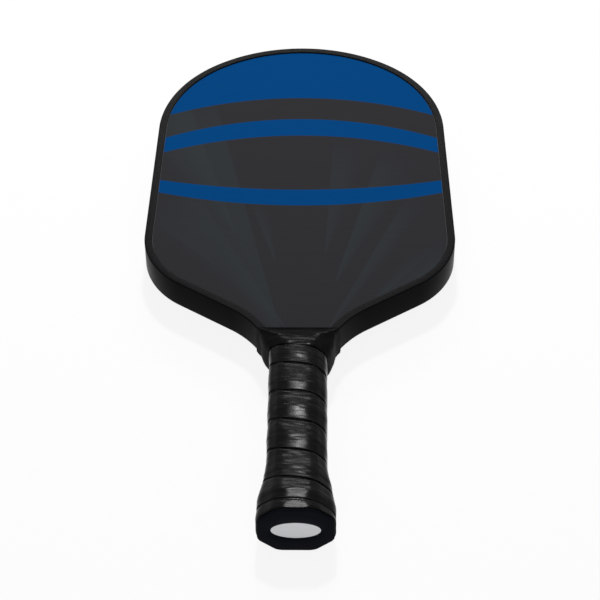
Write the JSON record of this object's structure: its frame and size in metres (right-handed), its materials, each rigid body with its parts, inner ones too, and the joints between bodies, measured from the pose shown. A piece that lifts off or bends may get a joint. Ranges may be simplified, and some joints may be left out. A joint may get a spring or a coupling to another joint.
{
  "type": "pickleball paddle",
  "caption": "Elongated pickleball paddle: honeycomb-core faces in a black edge guard, octagonal handle with wound grip tape and a flared butt cap.",
  "frame": {"origin": "under the centre of the paddle's bounding box, on the surface that the handle's flare rests on", "axes": "+Y along the paddle from the butt end to the crown of the head, +Z out of the front face, +X to the right seen from the butt end"},
  "size_m": [0.1904, 0.416, 0.0355],
  "materials": {
    "honeycomb": "matte, translucent polypropylene",
    "glue": "thin set adhesive",
    "laminate": "satin carbon laminate",
    "graphic": "satin print, graphite with blue, fine woven texture",
    "guard": "satin black moulding",
    "foam": "rigid foam, cut",
    "cap": "satin black moulding",
    "badge": "plain silver-grey plate",
    "wire": "galvanised wire",
    "grip": "soft black cushioned tape, slightly glossy, wrinkled",
    "vinyl": "glossy black vinyl tape, slightly wrinkled"
  },
  "bodies": {
    "root": {"honeycomb_core": "honeycomb", "front_bond_film": "glue", "back_bond_film": "glue", "front_face_sheet": "laminate", "back_face_sheet": "laminate", "front_graphic_layer": "graphic", "back_graphic_layer": "graphic", "edge_guard": "guard", "edge_guard_tape": "glue", "front_handle_pallet": "foam", "back_handle_pallet": "foam", "front_pallet_bond": "glue", "back_pallet_bond": "glue", "butt_cap": "cap", "butt_cap_badge": "badge", "front_staple_1": "wire", "front_staple_2": "wire", "back_staple_1": "wire", "back_staple_2": "wire", "grip_tape": "grip", "finishing_tape": "vinyl"}
  },
  "joints": []
}
